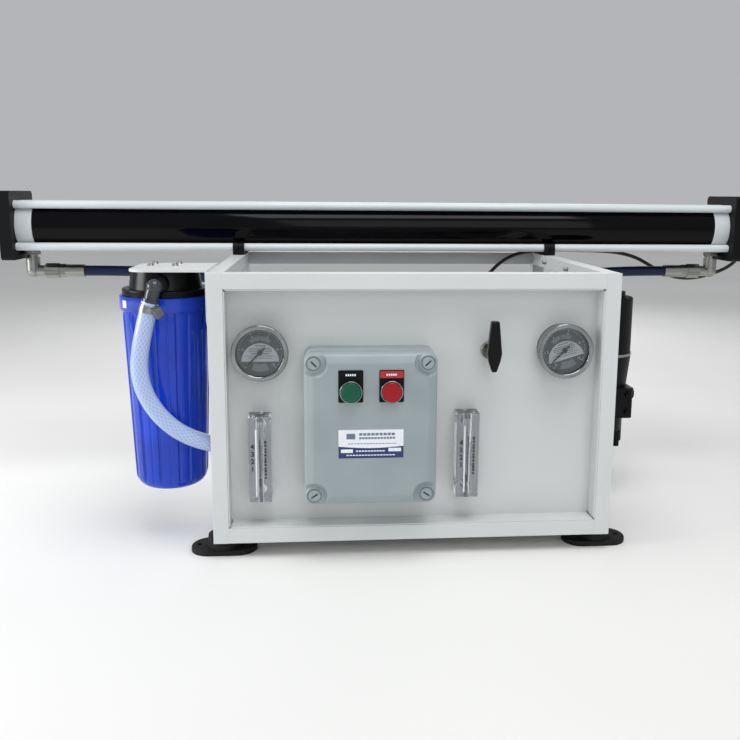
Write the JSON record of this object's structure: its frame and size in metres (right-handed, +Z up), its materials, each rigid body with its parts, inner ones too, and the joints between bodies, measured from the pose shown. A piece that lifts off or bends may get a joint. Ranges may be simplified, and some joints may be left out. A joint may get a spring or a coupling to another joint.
{
  "type": "reverse osmosis water maker",
  "caption": "Frame-mounted reverse osmosis water maker with a slim pre-filter, pressure vessel, pumps, control box, gauges and flow meters.",
  "frame": {"origin": "on the floor, at the centre of the pattern of the eight foot holes", "axes": "+X to the right along the pressure vessel, +Y from the front panel to the back, +Z up"},
  "size_m": [1.2475, 0.4575, 0.476],
  "materials": {
    "white_powder_coat": "satin powder coat",
    "black_powder_coat": "satin black coat",
    "black_gloss_wrap": "gloss black wound vessel",
    "white_plastic": "satin",
    "grey_enclosure": "fine matte",
    "blue_plastic": "semi gloss",
    "black_plastic": "satin",
    "dark_fitting": "smoked",
    "red_plastic": "gloss",
    "green_plastic": "gloss",
    "stainless": "brushed",
    "bright_steel": "polished",
    "rubber_black": "matte",
    "clear_acrylic": "polished",
    "hose_clear": "braided clear vinyl",
    "hose_blue": "matte",
    "tube_black": "satin",
    "cartridge_white": "spun fibre",
    "dial_grey": "printed dial",
    "motor_paint": "hammered",
    "pump_aluminium": "cast",
    "pump_brass": "machined",
    "membrane_wrap": "tape"
  },
  "bodies": {
    "skid": {"base_plate": "white_powder_coat", "booster_bracket": "stainless", "booster_head": "black_plastic", "booster_motor": "black_powder_coat", "box_base": "grey_enclosure", "cable_gland": "black_plastic", "contactor": "white_plastic", "end_plates": "black_powder_coat", "feed_hose": "hose_clear", "filter_bracket": "white_powder_coat", "filter_fittings": "dark_fitting", "filter_head": "black_plastic", "flow_meter_bodies": "clear_acrylic", "flow_meter_guides": "stainless", "foot_mounts": "rubber_black", "frame_tubes": "white_powder_coat", "front_panel": "white_powder_coat", "gauge_cases": "bright_steel", "gauge_dials": "dial_grey", "gauge_lenses": "clear_acrylic", "hose_clamp": "stainless", "machine_screws": "stainless", "membrane_element": "membrane_wrap", "motor_housing": "motor_paint", "permeate_fitting": "black_plastic", "permeate_tube": "tube_black", "pressure_fittings": "stainless", "pressure_hose_left": "hose_blue", "pressure_hose_right": "hose_blue", "pump_crankcase": "pump_aluminium", "pump_manifold": "pump_brass", "rod_clips": "black_plastic", "tie_rod_nuts": "stainless", "tie_rods": "white_plastic", "valve_body": "stainless", "vessel_collars": "white_plastic", "vessel_end_plugs": "white_plastic", "vessel_seals": "rubber_black", "vessel_tube": "black_gloss_wrap"},
    "cartridge": {"filter_cartridge": "cartridge_white"},
    "sump": {"filter_sump": "blue_plastic", "sump_seal": "rubber_black"},
    "lid": {"box_lid": "grey_enclosure", "lid_gasket": "rubber_black", "legend_plates": "black_plastic", "button_bezels": "bright_steel", "contact_blocks": "black_plastic"},
    "start_button": {"start_button": "green_plastic"},
    "stop_button": {"stop_button": "red_plastic"},
    "lid_screw_upper_left": {"lid_screw_upper_left": "grey_enclosure"},
    "lid_screw_upper_right": {"lid_screw_upper_right": "grey_enclosure"},
    "lid_screw_lower_left": {"lid_screw_lower_left": "grey_enclosure"},
    "lid_screw_lower_right": {"lid_screw_lower_right": "grey_enclosure"},
    "left_needle": {"left_gauge_needle": "black_plastic"},
    "right_needle": {"right_gauge_needle": "black_plastic"},
    "left_float": {"left_flow_float": "black_plastic"},
    "right_float": {"right_flow_float": "black_plastic"},
    "lever": {"valve_lever": "black_plastic"},
    "rotor": {"motor_rotor": "stainless", "cooling_fan": "black_plastic"}
  },
  "joints": [
    {"name": "cartridge_drop", "type": "slide", "parent": "skid", "child": "cartridge", "axis": [0, 0, -1], "range_m": [0, 0.015]},
    {"name": "sump_unscrew", "type": "hinge", "parent": "cartridge", "child": "sump", "pos_m": [-0.331, -0.11, 0.2], "axis": [0, 0, -1], "range_deg": [0, 1080]},
    {"name": "lid_lift_off", "type": "slide", "parent": "skid", "child": "lid", "axis": [0, -1, 0], "range_m": [0, 0.06]},
    {"name": "start_press", "type": "slide", "parent": "lid", "child": "start_button", "axis": [0, 1, 0], "range_m": [0, 0.003], "stiffness_N_per_m": 400, "springref_m": -0.0015},
    {"name": "stop_press", "type": "slide", "parent": "lid", "child": "stop_button", "axis": [0, 1, 0], "range_m": [0, 0.003], "stiffness_N_per_m": 400, "springref_m": -0.0015},
    {"name": "screw_turn_upper_left", "type": "hinge", "parent": "lid", "child": "lid_screw_upper_left", "pos_m": [-0.1325, -0.235, 0.2675], "axis": [0, 1, 0], "range_deg": [0, 90]},
    {"name": "screw_turn_upper_right", "type": "hinge", "parent": "lid", "child": "lid_screw_upper_right", "pos_m": [0.0105, -0.235, 0.2675], "axis": [0, 1, 0], "range_deg": [0, 90]},
    {"name": "screw_turn_lower_left", "type": "hinge", "parent": "lid", "child": "lid_screw_lower_left", "pos_m": [-0.1325, -0.235, 0.0965], "axis": [0, 1, 0], "range_deg": [0, 90]},
    {"name": "screw_turn_lower_right", "type": "hinge", "parent": "lid", "child": "lid_screw_lower_right", "pos_m": [0.0105, -0.235, 0.0965], "axis": [0, 1, 0], "range_deg": [0, 90]},
    {"name": "left_gauge_reading", "type": "hinge", "parent": "skid", "child": "left_needle", "pos_m": [-0.201, -0.193, 0.2742], "axis": [0, 1, 0], "range_deg": [0, 270], "stiffness_Nm_per_rad": 0.002, "springref_deg": -11.46},
    {"name": "right_gauge_reading", "type": "hinge", "parent": "skid", "child": "right_needle", "pos_m": [0.197, -0.193, 0.2742], "axis": [0, 1, 0], "range_deg": [0, 270], "stiffness_Nm_per_rad": 0.002, "springref_deg": -11.46},
    {"name": "left_flow_reading", "type": "slide", "parent": "skid", "child": "left_float", "axis": [0, 0, 1], "range_m": [0, 0.062]},
    {"name": "right_flow_reading", "type": "slide", "parent": "skid", "child": "right_float", "axis": [0, 0, 1], "range_m": [0, 0.062]},
    {"name": "valve_turn", "type": "hinge", "parent": "skid", "child": "lever", "pos_m": [0.0985, -0.19, 0.273], "axis": [0, 1, 0], "range_deg": [-90, 90]},
    {"name": "motor_spin", "type": "hinge", "parent": "skid", "child": "rotor", "pos_m": [0.08, 0.092, 0.12], "axis": [1, 0, 0], "continuous": true}
  ],
  "couplings": [
    {"joint": "cartridge_drop", "follows": "sump_unscrew", "m_per_rad": 0.000795}
  ]
}
